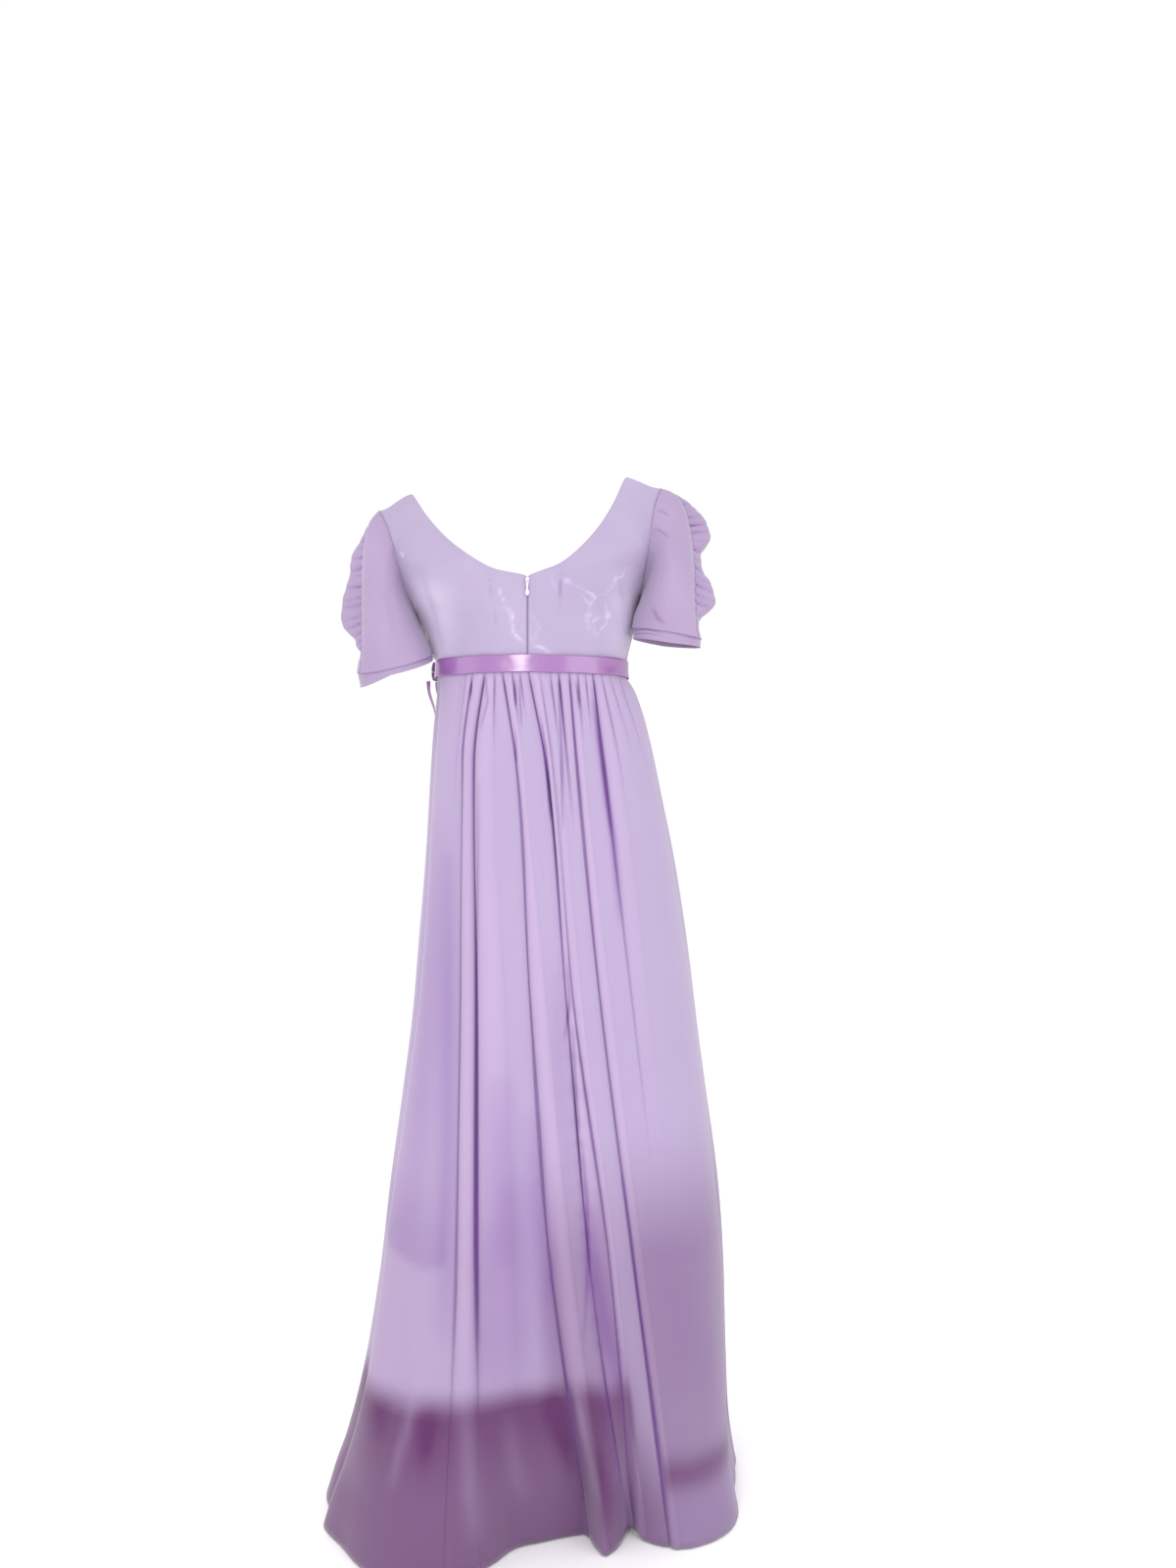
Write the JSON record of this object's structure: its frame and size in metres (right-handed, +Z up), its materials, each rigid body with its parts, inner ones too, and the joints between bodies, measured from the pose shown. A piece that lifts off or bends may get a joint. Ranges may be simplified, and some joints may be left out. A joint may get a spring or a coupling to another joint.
{
  "type": "regency gown",
  "caption": "Floor-length empire gown with short puffed sleeves, scoop neck, ribbon at a high waist, gathered sheer skirt over a lining and a zip down the back.",
  "frame": {"origin": "midway between the two shoulder seams, at shoulder height, where the wearer carries the gown", "axes": "+Z up, -Y to the wearer's front, +X to the wearer's left; the zip is on the +Y side"},
  "size_m": [0.6068, 0.5024, 1.4855],
  "materials": {
    "bodice_front_crepe": "satin crepe",
    "bodice_back_left_crepe": "satin crepe",
    "bodice_back_right_crepe": "satin crepe",
    "skirt_front_chiffon": "matt chiffon",
    "skirt_back_left_chiffon": "matt chiffon",
    "skirt_back_right_chiffon": "matt chiffon",
    "lining_cloth": "smooth lining",
    "sleeve_left_back_cloth": "matt chiffon",
    "sleeve_left_front_cloth": "matt chiffon",
    "sleeve_right_back_cloth": "matt chiffon",
    "sleeve_right_front_cloth": "matt chiffon",
    "cuff_left_cloth": "matt crepe",
    "cuff_right_cloth": "matt crepe",
    "waist_ribbon_satin": "glossy satin",
    "ribbon_knot_satin": "glossy satin",
    "ribbon_tail_long_satin": "glossy satin",
    "ribbon_tail_short_satin": "glossy satin",
    "zip_tape_cloth": "woven tape",
    "zip_slider_enamel": "enamel",
    "zip_pull_enamel": "enamel"
  },
  "bodies": {
    "gown": {"bodice_front": "bodice_front_crepe", "bodice_back_left": "bodice_back_left_crepe", "bodice_back_right": "bodice_back_right_crepe", "skirt_front": "skirt_front_chiffon", "skirt_back_left": "skirt_back_left_chiffon", "skirt_back_right": "skirt_back_right_chiffon", "skirt_lining": "lining_cloth", "sleeve_left_back": "sleeve_left_back_cloth", "sleeve_left_front": "sleeve_left_front_cloth", "sleeve_right_back": "sleeve_right_back_cloth", "sleeve_right_front": "sleeve_right_front_cloth", "cuff_left": "cuff_left_cloth", "cuff_right": "cuff_right_cloth", "waist_ribbon": "waist_ribbon_satin", "ribbon_knot": "ribbon_knot_satin", "ribbon_tail_long": "ribbon_tail_long_satin", "ribbon_tail_short": "ribbon_tail_short_satin", "zip_tape": "zip_tape_cloth", "zip_slider": "zip_slider_enamel"},
    "zip_pull": {"zip_pull": "zip_pull_enamel"}
  },
  "joints": [
    {"name": "zip_pull_hinge", "type": "hinge", "parent": "gown", "child": "zip_pull", "pos_m": [-0.019, 0.10897, -0.162], "axis": [1, 0, 0], "range_deg": [0, 160]}
  ]
}
